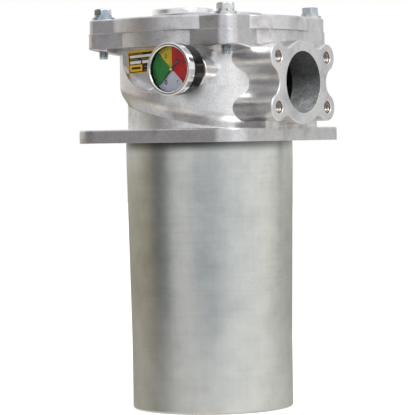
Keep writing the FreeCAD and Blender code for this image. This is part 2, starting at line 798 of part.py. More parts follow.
def gauge_bezel():
    inner = case_radius + thread_clearance
    outer = inner + bezel_wall
    lip_back = window_back_y + window_thickness
    front = lip_back + bezel_lip_thickness
    bezel = turned([(inner, front - bezel_length), (outer, front - bezel_length, 0.4),
                    (outer, front, bezel_round), (outer - bezel_lip, front, 0.6),
                    (outer - bezel_lip, lip_back), (inner, lip_back)])
    return sideways(bezel, -1, gauge_x, gauge_z)


def pointer_spindle():
    low = dial_back_y - 8
    top = dial_face_y + pointer_gap + pointer_thickness
    spindle = disc(spindle_radius, low, top).fuse(
        disc(spindle_cap_radius, top, top + spindle_cap_height))
    return sideways(spindle.removeSplitter(), -1, gauge_x, gauge_z)


def gauge_pointer():
    low = dial_face_y + pointer_gap
    high = low + pointer_thickness
    arm = Part.Face(Part.makePolygon([V(0, -pointer_half_width, low), V(0, pointer_half_width, low),
                                      V(pointer_length, pointer_tip_half_width, low),
                                      V(pointer_length, -pointer_tip_half_width, low),
                                      V(0, -pointer_half_width, low)]))
    tail = block(-pointer_tail, 0, -pointer_half_width, pointer_half_width, low, high)
    weight = disc(pointer_weight_radius, low, high)
    weight.translate(V(-pointer_tail, 0, 0))
    parts = [arm.extrude(V(0, 0, pointer_thickness)), tail, weight]
    pointer = disc(pointer_hub_radius, low, high).fuse(parts).removeSplitter()
    pointer = pointer.cut(disc(spindle_radius + 0.02, low, high))
    pointer.rotate(V(0, 0, 0), V(0, 0, 1), pointer_rest_angle)
    return sideways(pointer, -1, gauge_x, gauge_z)


def rating_plate():
    plate = block(-plate_width / 2, plate_width / 2, -plate_height / 2, plate_height / 2,
                  recess_depth, recess_depth + plate_thickness)
    upright = [e for e in plate.Edges if abs(e.BoundBox.ZLength - plate_thickness) < 0.01]
    plate = plate.makeFillet(plate_corner, upright)
    plate.rotate(V(0, 0, 0), V(0, 0, 1), plate_turn)
    return sideways(plate, -1, plate_x, plate_z)


pieces = [filter_head, tank_seal, cover_seal, cover, cover_bolts, cover_washers, spring_washers,
          rating_plate, bowl, bowl_seal, element_top_cap, element_bottom_cap, element_seal, element_core,
          element_pleats, hold_down_spring, bypass_seat, bypass_cage, bypass_poppet, bypass_spring,
          gauge_seal, gauge_stem, gauge_case, gauge_movement, gauge_dial, gauge_spacer,
          gauge_window, gauge_bezel, pointer_spindle, gauge_pointer, port_plug, port_plug_seal]

os.makedirs("parts", exist_ok=True)
for piece in pieces:
    shape = piece()
    shape.exportStep("parts/" + piece.__name__ + ".step")
    print(piece.__name__, "valid" if shape.isValid() else "NOT VALID", len(shape.Solids), round(shape.Volume))
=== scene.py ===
import json
import math

import bmesh
import bpy
import numpy as np
from mathutils import Matrix, Vector

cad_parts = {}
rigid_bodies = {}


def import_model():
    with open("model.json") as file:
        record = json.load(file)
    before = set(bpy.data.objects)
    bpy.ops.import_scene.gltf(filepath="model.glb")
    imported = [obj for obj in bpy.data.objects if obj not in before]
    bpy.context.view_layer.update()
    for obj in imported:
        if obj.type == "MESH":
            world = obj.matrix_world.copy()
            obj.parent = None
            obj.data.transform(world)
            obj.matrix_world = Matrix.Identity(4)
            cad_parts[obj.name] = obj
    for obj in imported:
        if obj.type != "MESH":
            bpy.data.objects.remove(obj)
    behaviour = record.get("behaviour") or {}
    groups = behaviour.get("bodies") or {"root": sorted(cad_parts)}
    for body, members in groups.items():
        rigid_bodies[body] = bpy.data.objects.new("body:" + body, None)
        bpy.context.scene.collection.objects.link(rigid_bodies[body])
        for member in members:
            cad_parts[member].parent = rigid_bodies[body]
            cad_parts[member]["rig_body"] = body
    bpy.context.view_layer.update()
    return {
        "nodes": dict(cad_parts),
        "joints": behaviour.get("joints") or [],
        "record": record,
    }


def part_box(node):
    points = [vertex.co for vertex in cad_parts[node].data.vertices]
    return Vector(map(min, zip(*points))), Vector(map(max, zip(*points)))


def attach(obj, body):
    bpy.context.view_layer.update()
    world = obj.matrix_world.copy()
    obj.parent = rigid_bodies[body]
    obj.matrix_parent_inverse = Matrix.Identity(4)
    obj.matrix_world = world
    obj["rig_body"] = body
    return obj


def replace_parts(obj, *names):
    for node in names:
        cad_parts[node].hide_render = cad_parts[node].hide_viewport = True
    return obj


# Tank top filter in a white studio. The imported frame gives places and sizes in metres; the
# dictionaries beside the code hold what a user may change, in millimetres and degrees.

mm = 0.001
noiseSpan = (0.3, 0.7)         # noise values hardly leave this range, so ramps run over it
skin = 0.05 * mm               # a cut face is known by its height, this close
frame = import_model()
print("frame loaded:", len(frame["nodes"]), "nodes")

record = frame["record"]
mounts = {m["name"]: m for m in record["mounts"]}
portPattern = mounts["inlet_bolts"]["dims"]
portMiddle = np.array(mounts["inlet_port"]["pos_m"])
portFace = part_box("filter_head")[1].x              # the head reaches furthest along +X at the port
pointerJoint = [j for j in frame["joints"] if j["name"] == "pointer_turn"][0]
gaugeAxis = np.array([pointerJoint["pos_m"][0], 0.0, pointerJoint["pos_m"][2]])
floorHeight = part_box("bowl")[0].z


def gridFaces(rows, columns, wrap):
    # quads between neighbouring rows and columns; wrap joins the last column to the first
    i, j = np.meshgrid(np.arange(rows - 1), np.arange(columns if wrap else columns - 1), indexing="ij")
    here = i * columns + j
    beside = i * columns + (j + 1) % columns
    return np.stack([here, beside, beside + columns, here + columns], -1).reshape(-1, 4)


joining = {
    "weld": 2e-7,              # metres: points closer than this become one
    "sliver": 1e-8,            # and edges shorter than this go
    "flatWeight": 80,          # how strongly large faces pull the shading flat
}


def finishMesh(mesh, sharp, outward):
    # doubled points are merged, which closes seams and poles; edges steeper than sharp stay crisp
    shell = bmesh.new()
    shell.from_mesh(mesh)
    bmesh.ops.remove_doubles(shell, verts=shell.verts, dist=joining["weld"])
    bmesh.ops.dissolve_degenerate(shell, dist=joining["sliver"], edges=shell.edges)
    if outward:
        bmesh.ops.recalc_face_normals(shell, faces=shell.faces)
    shell.to_mesh(mesh)
    shell.free()
    mesh.shade_smooth()
    mesh.set_sharp_from_angle(angle=math.radians(sharp))


def showPiece(name, mesh, materials, body):
    for material in materials:
        mesh.materials.append(material)
    piece = bpy.data.objects.new(name, mesh)
    bpy.context.scene.collection.objects.link(piece)
    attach(piece, body)
    return piece


def makePiece(name, grids, materials, wrap=True, sharp=30, fields=None, body="housing"):
    # several grids of points, rows x columns x 3, become one piece; fields gives each grid's material
    faces = []
    indices = []
    start = 0
    for n, grid in enumerate(grids):
        quads = gridFaces(grid.shape[0], grid.shape[1], wrap) + start
        faces.append(quads)
        indices.append(np.full(len(quads), fields[n] if fields else 0))
        start += grid.shape[0] * grid.shape[1]
    points = np.concatenate([g.reshape(-1, 3) for g in grids])
    mesh = bpy.data.meshes.new(name)
    mesh.from_pydata(points.tolist(), [], np.concatenate(faces).tolist())
    mesh.polygons.foreach_set("material_index", np.concatenate(indices).astype(np.int32))
    finishMesh(mesh, sharp, fields is None)
    return showPiece(name, mesh, materials, body)


def joinedCopy(node, material, sharp):
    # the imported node's own shape with its loose triangles joined, so that its rounds shade smoothly
    source = frame["nodes"][node]
    mesh = source.data.copy()
    mesh.materials.clear()
    finishMesh(mesh, sharp, False)
    piece = showPiece(node + "Shell", mesh, [material], source["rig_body"])
    weighted = piece.modifiers.new("flatFacesStayFlat", "WEIGHTED_NORMAL")
    weighted.keep_sharp = True
    weighted.weight = joining["flatWeight"]
    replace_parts(piece, node)


def linear(code):
    # sRGB hex to linear light
    channels = [int(code[n:n + 2], 16) / 255 for n in (1, 3, 5)]
    return [c / 12.92 if c <= 0.04045 else ((c + 0.055) / 1.055) ** 2.4 for c in channels] + [1.0]


def addNode(owner, kind, settings=None, inputs=None, into=None, output=0):
    # One node with its settings. Each input is a number, a colour or another node's output, and
    # into is the socket that the new node feeds. stops are (place, hex) pairs of a colour ramp.
    node = owner.node_tree.nodes.new("ShaderNode" + kind)
    for name, value in (settings or {}).items():
        if name == "stops":
            stops = node.color_ramp.elements
            stops.remove(stops[1])
            stops[0].position = value[0][0]
            stops[0].color = linear(value[0][1])
            for place, code in value[1:]:
                stops.new(place).color = linear(code)
        else:
            setattr(node, name, value)
    for name, value in (inputs or {}).items():
        if isinstance(value, bpy.types.NodeSocket):
            owner.node_tree.links.new(value, node.inputs[name])
        else:
            node.inputs[name].default_value = value
    if into is not None:
        owner.node_tree.links.new(node.outputs[output], into)
    return node


def newMaterial(name, **sockets):
    material = bpy.data.materials.new(name)
    material.use_nodes = True
    shader = material.node_tree.nodes["Principled BSDF"]
    for socket, value in sockets.items():
        shader.inputs[socket.replace("_", " ")].default_value = value
    return material, shader


spotLook = {"share": 0.6, "roughness": 0.6}    # a spot is this share of the noise's own cell


def spots(material, sizeMm, detail=3.0, stretch=(1, 1, 1)):
    # cloudy spots about sizeMm across, on the object's own coordinates
    place = addNode(material, "TexCoord").outputs["Object"]
    scaled = addNode(material, "Mapping", {}, {"Vector": place, "Scale": stretch}).outputs[0]
    scale = spotLook["share"] / (sizeMm * mm)
    return addNode(material, "TexNoise", {}, {"Vector": scaled, "Scale": scale, "Detail": detail,
                                              "Roughness": spotLook["roughness"]}).outputs[0]


def tones(low, high):
    # a ramp's two stops, over nearly all the values that the noise has
    return [(noiseSpan[0], low), (noiseSpan[1], high)]


castLook = {
    "colours": [(0.32, "#cdcdcf"), (0.45, "#e0e0e1"), (0.56, "#ececec"), (0.7, "#f8f8f7")],
    "stain": "#aaa6a4",        # faint stains left by the blasting
    "skin": "#efeef0",         # ring, cover and flange kept more of their grey casting skin
    "grainMm": 1.1,            # the real grain is near 0.4 mm, drawn coarser so that it shows
    "grainDepthMm": 0.035,
    "patchMm": 9.0,
    "edgeMm": 0.8,
    "bump": 0.8,
    "roughness": (0.41, 0.32),
    "patchShare": 0.45,        # how much of the tone comes from the patches, the rest from the grain
    "stainSize": 2.2,          # in patches
    "stainSpan": (0.54, 0.68),
    "stainDepth": 0.6,
    "cut": [(0.36, "#dadadc"), (0.5, "#efeff0"), (0.62, "#fafaf9")],
    "cutRoughness": 0.24,
    # painted shade on the inlet's bore wall: dark greys, lighter towards its bottom
    "boreShadeTones": [(0.34, "#606265"), (0.5, "#85878a"), (0.66, "#b0b2b5")],
    "boreShadeFade": (-24.0, 1.75, 8.0, 0.4),   # mm from the bore's middle and how light its painted shade is there
    "boreDepthMm": 34.0,       # behind this depth no light reaches the bore
    "insideRadiusMm": 83.9,
    "insideHalfWidthMm": 68.0,
    # painted shade: the walls inside the head are coloured near black
    "deep": "#111111",
    "hollowRoughness": 0.55,
    "hollowMetallic": 0.1,
}


def castAluminium(name, cutFaces, stretch, skinAbove, skinBelow, hollow):
    # Sand-cast aluminium, shot blasted: light grey and half matt, with a fine grain, cloudy patches
    # and faint stains, greyer above skinAbove and below skinBelow. Faces that were cut flat
    # afterwards are brighter and smoother; each is an axis, a sign and a height. With hollow, the
    # inlet's bore is painted in shade, lighter towards its bottom, and the walls inside are painted
    # near black as shade.
    material, shader = newMaterial(name, Metallic=1.0)
    look = castLook
    grain = spots(material, look["grainMm"], 4.0, stretch)
    patch = spots(material, look["patchMm"], 3.0)
    both = addNode(material, "Mix", {"data_type": "FLOAT"},
                   {0: look["patchShare"], 2: grain, 3: patch}).outputs[0]
    cast = addNode(material, "ValToRGB", {"stops": look["colours"]}, {0: both}).outputs[0]
    where = spots(material, look["patchMm"] * look["stainSize"], 4.0)
    start, full = look["stainSpan"]
    stained = addNode(material, "MapRange", {}, {0: where, 1: start, 2: full, 3: 0.0,
                                                 4: look["stainDepth"]}).outputs[0]
    cast = addNode(material, "Mix", {"data_type": "RGBA"},
                   {0: stained, 6: cast, 7: linear(look["stain"])}).outputs[2]
    place = addNode(material, "TexCoord").outputs["Object"]
    axes = addNode(material, "SeparateXYZ", {}, {0: place}).outputs
    high = addNode(material, "MapRange", {}, {0: axes[2], 1: skinAbove - mm, 2: skinAbove + mm}).outputs[0]
    low = addNode(material, "MapRange", {}, {0: axes[2], 1: skinBelow + mm, 2: skinBelow - mm}).outputs[0]
    grey = addNode(material, "Math", {"operation": "MAXIMUM"}, {0: high, 1: low}).outputs[0]
    cast = addNode(material, "Mix", {"data_type": "RGBA", "blend_type": "MULTIPLY"},
                   {0: grey, 6: cast, 7: linear(look["skin"])}).outputs[2]
    cut = 0.0
    for axis, sign, height in cutFaces:
        along = axes["XYZ".index(axis)]
        kind = "GREATER_THAN" if sign > 0 else "LESS_THAN"
        past = addNode(material, "Math", {"operation": kind}, {0: along, 1: height}).outputs[0]
        cut = addNode(material, "Math", {"operation": "MAXIMUM"}, {0: cut, 1: past}).outputs[0]
    milled = addNode(material, "ValToRGB", {"stops": look["cut"]}, {0: where}).outputs[0]
    colour = addNode(material, "Mix", {"data_type": "RGBA"}, {0: cut, 6: cast, 7: milled}).outputs[2]
    dull, bright = look["roughness"]
    rough = addNode(material, "MapRange", {}, {0: both, 1: noiseSpan[0], 2: noiseSpan[1], 3: dull,
                                               4: bright}).outputs[0]
    rough = addNode(material, "Mix", {"data_type": "FLOAT"},
                    {0: cut, 2: rough, 3: look["cutRoughness"]}).outputs[0]
    if hollow:
        inBore, inBody = insideHead(material, place, axes)
        low, pale, high, dark = look["boreShadeFade"]
        # painted shade on the bore wall, scaled lighter towards its bottom
        bottom = portMiddle[2] + low * mm
        top = portMiddle[2] + high * mm
        boreShadeLevel = addNode(material, "MapRange", {}, {0: axes[2], 1: bottom, 2: top, 3: pale,
                                                  4: dark}).outputs[0]
        boreShadeTones = addNode(material, "ValToRGB", {"stops": look["boreShadeTones"]}, {0: both}).outputs[0]
        boreShadeTones = addNode(material, "VectorMath", {"operation": "SCALE"},
                        {0: boreShadeTones, "Scale": boreShadeLevel}).outputs[0]
        # painted shade: the bore wall gets its dark greys and the walls inside the head near black
        for mask, tone in ((inBore, boreShadeTones), (inBody, linear(look["deep"]))):
            colour = addNode(material, "Mix", {"data_type": "RGBA"},
                             {0: mask, 6: colour, 7: tone}).outputs[2]
        inside = addNode(material, "Math", {"operation": "MAXIMUM"}, {0: inBore, 1: inBody}).outputs[0]
        rough = addNode(material, "Mix", {"data_type": "FLOAT"},
                        {0: inside, 2: rough, 3: look["hollowRoughness"]}).outputs[0]
        addNode(material, "MapRange", {}, {0: inside, 3: 1.0, 4: look["hollowMetallic"]},
                shader.inputs["Metallic"])
    material.node_tree.links.new(colour, shader.inputs["Base Color"])
    material.node_tree.links.new(rough, shader.inputs["Roughness"])
    # a cut face has no grain, so its height is the noise's middle value
    height = addNode(material, "Mix", {"data_type": "FLOAT"},
                     {0: cut, 2: grain, 3: sum(noiseSpan) / 2}).outputs[0]
    soft = addNode(material, "Bevel", {"samples": 4}, {"Radius": look["edgeMm"] * mm}).outputs[0]
    addNode(material, "Bump", {}, {"Height": height, "Distance": look["grainDepthMm"] * mm,
                                   "Strength": look["bump"], "Normal": soft}, shader.inputs["Normal"])
    return material


def insideHead(material, place, axes):
    # two masks: the wall of the inlet's bore, and the walls inside the head
    about = addNode(material, "Mapping", {}, {"Vector": place, "Scale": (0, 1, 1),
                                              "Location": (0, 0, -portMiddle[2])}).outputs[0]
    away = addNode(material, "VectorMath", {"operation": "LENGTH"}, {0: about}).outputs["Value"]
    bore = mounts["inlet_port"]["dims"]["r_mm"] * mm
    near = addNode(material, "Math", {"operation": "LESS_THAN"}, {0: away, 1: bore + skin}).outputs[0]
    end = portFace - castLook["boreDepthMm"] * mm
    ahead = addNode(material, "Math", {"operation": "GREATER_THAN"}, {0: axes[0], 1: end}).outputs[0]
    inBore = addNode(material, "Math", {"operation": "MULTIPLY"}, {0: near, 1: ahead}).outputs[0]
    flat = addNode(material, "Mapping", {}, {"Vector": place, "Scale": (1, 1, 0)}).outputs[0]
    radius = addNode(material, "VectorMath", {"operation": "LENGTH"}, {0: flat}).outputs["Value"]
    within = addNode(material, "Math", {"operation": "LESS_THAN"},
                     {0: radius, 1: castLook["insideRadiusMm"] * mm}).outputs[0]
    side = addNode(material, "Math", {"operation": "ABSOLUTE"}, {0: axes[1]}).outputs[0]
    middle = addNode(material, "Math", {"operation": "LESS_THAN"},
                     {0: side, 1: castLook["insideHalfWidthMm"] * mm}).outputs[0]
    inBody = addNode(material, "Math", {"operation": "MULTIPLY"}, {0: within, 1: middle}).outputs[0]
    front = addNode(material, "Math", {"operation": "GREATER_THAN"}, {0: axes[0], 1: 0.0}).outputs[0]
    behind = addNode(material, "Math", {"operation": "SUBTRACT"}, {0: front, 1: ahead}).outputs[0]
    behind = addNode(material, "Math", {"operation": "MULTIPLY"}, {0: near, 1: behind}).outputs[0]
    return inBore, addNode(material, "Math", {"operation": "MAXIMUM"}, {0: inBody, 1: behind}).outputs[0]


zincLook = {
    "colours": [(0.3, "#c6c9c6"), (0.45, "#d2d4d1"), (0.55, "#d8dad7"), (0.7, "#e0e1dd")],
    "patchMm": 16.0,
    "draw": (0.8, (1, 1, 0.02)),      # mm between drawing marks, which are stretched down the bowl
    "spin": (1.4, (0.04, 0.04, 1)),   # and between the faint lines that run round it
    "spinShare": 0.5,
    "markShare": 0.35,         # how much of the tone comes from the marks, the rest from the patches
    "markDepthMm": 0.004,
    "bump": 0.6,
    "roughness": (0.24, 0.27),
    "worn": (-120.0, -270.0, 0.2),    # from and to these heights in mm it grows rougher by so much
    "collarMm": 13.0,          # painted shadow of the flange: the bowl is darker just under it
    "collarSpotMm": 60.0,
    # two values of those spots, and how strong the painted shadow is at each
    "collarSpan": (0.35, 0.65, 0.45, 1.0),
    "collar": "#4c4f48",
}


def zincSheet():
    # Drawn steel, zinc plated: soft mirror bands, fine marks down and round the wall and cloudy
    # blotches, with a painted shadow of the flange just under it.
    material, shader = newMaterial("zincPlatedDrawnSteel", Metallic=1.0)
    look = zincLook
    patch = spots(material, look["patchMm"], 5.0)
    down = spots(material, look["draw"][0], 2.0, look["draw"][1])
    around = spots(material, look["spin"][0], 2.0, look["spin"][1])
    marks = addNode(material, "Mix", {"data_type": "FLOAT"},
                    {0: look["spinShare"], 2: down, 3: around}).outputs[0]
    cloud = addNode(material, "Mix", {"data_type": "FLOAT"},
                    {0: look["markShare"], 2: patch, 3: marks}).outputs[0]
    colour = addNode(material, "ValToRGB", {"stops": look["colours"]}, {0: cloud}).outputs[0]
    place = addNode(material, "TexCoord").outputs["Object"]
    height = addNode(material, "SeparateXYZ", {}, {0: place}).outputs[2]
    # painted shadow of the flange: patchy, darkest at the top of the bowl
    low, high, thin, full = look["collarSpan"]
    flangeShadowStrength = addNode(material, "MapRange", {}, {0: spots(material, look["collarSpotMm"], 0.0), 1: low,
                                               2: high, 3: thin, 4: full}).outputs[0]
    collar = addNode(material, "MapRange", {"interpolation_type": "SMOOTHERSTEP"},
                     {0: height, 1: -look["collarMm"] * mm, 2: 0.0, 3: 0.0, 4: flangeShadowStrength}).outputs[0]
    addNode(material, "Mix", {"data_type": "RGBA"}, {0: collar, 6: colour, 7: linear(look["collar"])},
            shader.inputs["Base Color"], 2)
    low, high = look["roughness"]
    top, bottom, rise = look["worn"]
    worn = addNode(material, "MapRange", {"interpolation_type": "SMOOTHSTEP"},
                   {0: height, 1: top * mm, 2: bottom * mm, 3: 0.0, 4: rise}).outputs[0]
    rough = addNode(material, "MapRange", {}, {0: patch, 1: noiseSpan[0], 2: noiseSpan[1], 3: low,
                                               4: high}).outputs[0]
    addNode(material, "Math", {"operation": "ADD"}, {0: rough, 1: worn}, shader.inputs["Roughness"])
    addNode(material, "Bump", {}, {"Height": marks, "Distance": look["markDepthMm"] * mm,
                                   "Strength": look["bump"]}, shader.inputs["Normal"])
    return material


boltLook = {
    "colours": [(0.34, "#a6b1bd"), (0.5, "#c4cbd0"), (0.66, "#dfe1dd")],
    "roughness": 0.17,
    "glintMm": 9.0,
    "grainMm": 0.6,
    "grainDepthMm": 0.01,
    "bump": 0.5,
}


def zincBolt():
    # Cold-headed steel, blue-passivated zinc: bright, with a faint blue glint that shifts over it.
    look = boltLook
    material, shader = newMaterial("bluePassivatedZinc", Metallic=1.0, Roughness=look["roughness"])
    addNode(material, "ValToRGB", {"stops": look["colours"]}, {0: spots(material, look["glintMm"], 1.0)},
            shader.inputs["Base Color"])
    addNode(material, "Bump", {}, {"Height": spots(material, look["grainMm"]),
                                   "Distance": look["grainDepthMm"] * mm, "Strength": look["bump"]},
            shader.inputs["Normal"])
    return material


chromeLook = {
    "width": 8.6,              # mm of bright rim; the rest of the bezel is enamelled black with the case
    "fadeMm": 0.3,             # over which one turns into the other
    "colours": ("#d9dade", "#ececee"),
    "enamel": "#0d0d0e",
    "roughness": (0.05, 0.1),  # of the chrome and of the enamel
    "shine": 0.2,
    "waveMm": 7.0,
    "waveDepthMm": 0.12,
    "bump": 0.7,
}


def chromePlate():
    # Chromed pressed steel: a near mirror with the faint waviness of a pressing, under black enamel
    # towards the case.
    look = chromeLook
    material, shader = newMaterial("chromePlatedSteel", Specular_IOR_Level=look["shine"])
    wave = spots(material, look["waveMm"], 1.0)
    bright = addNode(material, "ValToRGB", {"stops": tones(*look["colours"])}, {0: wave}).outputs[0]
    place = addNode(material, "TexCoord").outputs["Object"]
    depth = addNode(material, "SeparateXYZ", {}, {0: place}).outputs[1]
    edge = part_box("gauge_bezel")[0].y + look["width"] * mm
    painted = addNode(material, "MapRange", {}, {0: depth, 1: edge,
                                                 2: edge + look["fadeMm"] * mm}).outputs[0]
    addNode(material, "Mix", {"data_type": "RGBA"}, {0: painted, 6: bright, 7: linear(look["enamel"])},
            shader.inputs["Base Color"], 2)
    addNode(material, "MapRange", {}, {0: painted, 3: 1.0, 4: 0.0}, shader.inputs["Metallic"])
    polished, coated = look["roughness"]
    addNode(material, "MapRange", {}, {0: painted, 3: polished, 4: coated}, shader.inputs["Roughness"])
    addNode(material, "Bump", {}, {"Height": wave, "Distance": look["waveDepthMm"] * mm,
                                   "Strength": look["bump"]}, shader.inputs["Normal"])
    return material


enamelLook = {"colours": ("#090909", "#121213"), "roughness": 0.1, "shine": 0.2, "peelMm": 1.8,
              "peelDepthMm": 0.01, "bump": 0.3}


def enamel():
    # Stoved black enamel on pressed steel: deep black under a glossy skin with a faint orange peel.
    look = enamelLook
    material, shader = newMaterial("stovedBlackEnamel", Roughness=look["roughness"],
                                   Specular_IOR_Level=look["shine"])
    peel = spots(material, look["peelMm"], 1.0)
    addNode(material, "ValToRGB", {"stops": tones(*look["colours"])}, {0: peel},
            shader.inputs["Base Color"])
    addNode(material, "Bump", {}, {"Height": peel, "Distance": look["peelDepthMm"] * mm,
                                   "Strength": look["bump"]}, shader.inputs["Normal"])
    return material


def plainMetal(name, low, high, roughness, sizeMm=3.0, depthMm=0.01, bump=0.4):
    # Turned or pressed metal: even colour with a slight mottle and fine tool marks.
    material, shader = newMaterial(name, Metallic=1.0, Roughness=roughness)
    mottle = spots(material, sizeMm)
    addNode(material, "ValToRGB", {"stops": tones(low, high)}, {0: mottle}, shader.inputs["Base Color"])
    addNode(material, "Bump", {}, {"Height": mottle, "Distance": depthMm * mm, "Strength": bump},
            shader.inputs["Normal"])
    return material


def dullSolid(name, low, high, roughness, sizeMm=1.0, depthMm=0.02, shine=0.5, bump=0.4):
    # Paint, rubber, paper or plastic: two close tones and a faint surface.
    material, shader = newMaterial(name, Roughness=roughness, Specular_IOR_Level=shine)
    mottle = spots(material, sizeMm)
    addNode(material, "ValToRGB", {"stops": tones(low, high)}, {0: mottle}, shader.inputs["Base Color"])
    addNode(material, "Bump", {}, {"Height": mottle, "Distance": depthMm * mm, "Strength": bump},
            shader.inputs["Normal"])
    return material


windowLook = {
    "ior": 1.22,               # acrylic's is 1.49, but the photo shows hardly any reflection on the dial
    "colours": ("#f6f9f9", "#ffffff"),
    "roughness": (0.01, 0.04),
    "wipedMm": 9.0,
}


def clearWindow():
    # Polished acrylic: clear, with a faint change of gloss where it was wiped.
    look = windowLook
    material, shader = newMaterial("clearAcrylic", IOR=look["ior"], Transmission_Weight=1.0)
    wiped = spots(material, look["wipedMm"], 2.0)
    clean, dull = look["roughness"]
    addNode(material, "MapRange", {}, {0: wiped, 1: noiseSpan[0], 2: noiseSpan[1], 3: clean, 4: dull},
            shader.inputs["Roughness"])
    addNode(material, "ValToRGB", {"stops": tones(*look["colours"])}, {0: wiped},
            shader.inputs["Base Color"])
    return material


casting = {
    "bossRise": 5.6,           # mm above the cover's lobes; what is higher is the boss, machined bright
    "ringDepth": 18.0,         # mm below the joint; from there up the castings keep their grey skin
    "flange": 14.0,            # mm above the flange's underside; below that the head keeps it too
    "coverStretch": (1, 1, 2.5),       # the cover's grain is finer upwards
}
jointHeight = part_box("cover_seal")[1].z             # just under the machined face of the joint
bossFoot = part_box("cover_washers")[0].z + casting["bossRise"] * mm
ringFoot = jointHeight - casting["ringDepth"] * mm
flangeTop = casting["flange"] * mm
headCuts = [("X", 1, portFace - skin), ("Z", 1, jointHeight), ("Z", -1, skin)]
headCasting = castAluminium("blastedCastAluminiumHead", headCuts, (1, 1, 1), ringFoot, flangeTop, True)
coverCasting = castAluminium("blastedCastAluminiumCover", [("Z", 1, bossFoot)],
                             casting["coverStretch"], ringFoot, 0.0, False)
bowlSteel = zincSheet()
boltZinc = zincBolt()
chrome = chromePlate()
blackEnamel = enamel()
rubber = dullSolid("nitrileRubber", "#151515", "#202020", 0.6)
brass = plainMetal("turnedBrass", "#c9a45c", "#dcbc7a", 0.3)
tinned = plainMetal("tinnedSheetSteel", "#8f908e", "#a3a4a2", 0.4, 8.0)
springWire = plainMetal("drawnSpringWire", "#8f8f8f", "#a3a3a3", 0.35)
turnedSteel = plainMetal("turnedSteel", "#a9aaab", "#bcbdbe", 0.3)
sealMetal = plainMetal("pressedAluminiumSeal", "#b4b4b4", "#c6c6c6", 0.4)
paper = dullSolid("resinTreatedFilterPaper", "#8d8468", "#9c9377", 0.85, 1.2, 0.06)
dialGrey = dullSolid("dialGreyPaint", "#acadbb", "#bcbdca", 0.5, 2.0, 0.004, 0.15)
dialGreen = dullSolid("dialGreenPaint", "#1d6c28", "#257c32", 0.5, 2.0, 0.004, 0.15)
dialYellow = dullSolid("dialYellowPaint", "#b39a1a", "#c1a726", 0.5, 2.0, 0.004, 0.15)
dialRed = dullSolid("dialRedPaint", "#a8080c", "#ba1014", 0.5, 2.0, 0.004, 0.15)
black = dullSolid("mattBlackPaint", "#0c0c0c", "#161616", 0.45, 1.0, 0.005)
window = clearWindow()
plateYellow = dullSolid("platePrintYellow", "#c9990a", "#d8aa14", 0.4, 1.5, 0.003)
plateBlack = dullSolid("platePrintBlack", "#150f06", "#21180b", 0.4, 1.5, 0.003)
plateWhite = dullSolid("platePrintWhite", "#cdc9c4", "#dcd9d5", 0.4, 1.5, 0.003)
plateOlive = dullSolid("platePrintOlive", "#6e5a1c", "#7f6a24", 0.4, 1.5, 0.003)
print("materials made")

finishes = {
    "tank_seal": rubber, "cover_seal": rubber, "bowl_seal": rubber, "element_seal": rubber,
    "element_top_cap": tinned, "element_bottom_cap": tinned, "element_core": tinned,
    "element_pleats": paper, "hold_down_spring": springWire, "bypass_spring": springWire,
    "bypass_seat": turnedSteel, "bypass_cage": turnedSteel, "bypass_poppet": turnedSteel,
    "gauge_seal": sealMetal, "port_plug_seal": sealMetal, "gauge_movement": brass,
    "pointer_spindle": brass, "gauge_spacer": black, "gauge_window": window, "gauge_pointer": black,
    "rating_plate": plateYellow, "gauge_dial": dialGrey, "cover_washers": boltZinc,
    "spring_washers": boltZinc, "gauge_stem": brass, "port_plug": boltZinc, "cover_bolts": boltZinc,
    "gauge_case": blackEnamel, "gauge_bezel": chrome, "bowl": bowlSteel, "filter_head": headCasting,
    "cover": coverCasting,
}
joined = {"filter_head": 15, "cover": 15, "bowl": 30, "gauge_case": 24, "gauge_stem": 24, "port_plug": 24,
          "cover_washers": 30, "spring_washers": 30}
for node, material in finishes.items():
    mesh = frame["nodes"][node].data
    mesh.materials.clear()
    mesh.materials.append(material)
    if node in joined:
        joinedCopy(node, material, joined[node])
print("castings and turned parts joined")


boltSize = {
    "flats": 16.0, "headHeight": 6.6, "shank": 5.0, "pitch": 1.5, "threadLength": 26.0, "columns": 48,
    "chamfer": 30,             # degrees
    "drops": [0, 0.15, 0.35, 0.6, 0.9, 1.2],    # mm below the top of the rows that draw the chamfer
    "face": 0.93,              # the flat on top and the washer face below, as shares of the flats
    "washerFace": 0.96,
    "step": 0.3,               # mm that the washer face stands out
    "threadDepth": 0.61,       # in pitches
    "runOut": (6, 0.9),        # rows and mm over which the thread begins at the shank
    "tip": (0.6, 1.0),         # mm of plain tip, and how much smaller than the shank it is
    "washerRadius": 11.8,
    "firstTurn": -22.0,        # degrees that the first head is turned, and how much more each next one
    "spin": 23.0,
}
threadShape = {
    "height": 1.25,            # the wave's, before everything above 1 is cut off
    "steepness": 2.9,          # how far it falls in one pitch
    "rows": 8,                 # to a pitch
}


def threadRows(crest, root, pitch, heights, turns):
    # distance to the axis = root, plus the thread's depth where (height / pitch + turn / 360) is
    # near the middle of its cycle: a triangle wave with its tips cut off, fading out at both ends
    phase = (heights[:, None] / pitch + turns[None, :] / (2 * np.pi)) % 1.0
    wave = np.clip(threadShape["height"] - np.abs(phase - 0.5) * threadShape["steepness"], 0, 1)
    ends = np.minimum(heights - heights.min(), heights.max() - heights) / pitch
    return root + (crest - root) * wave * np.clip(ends, 0, 1)[:, None]


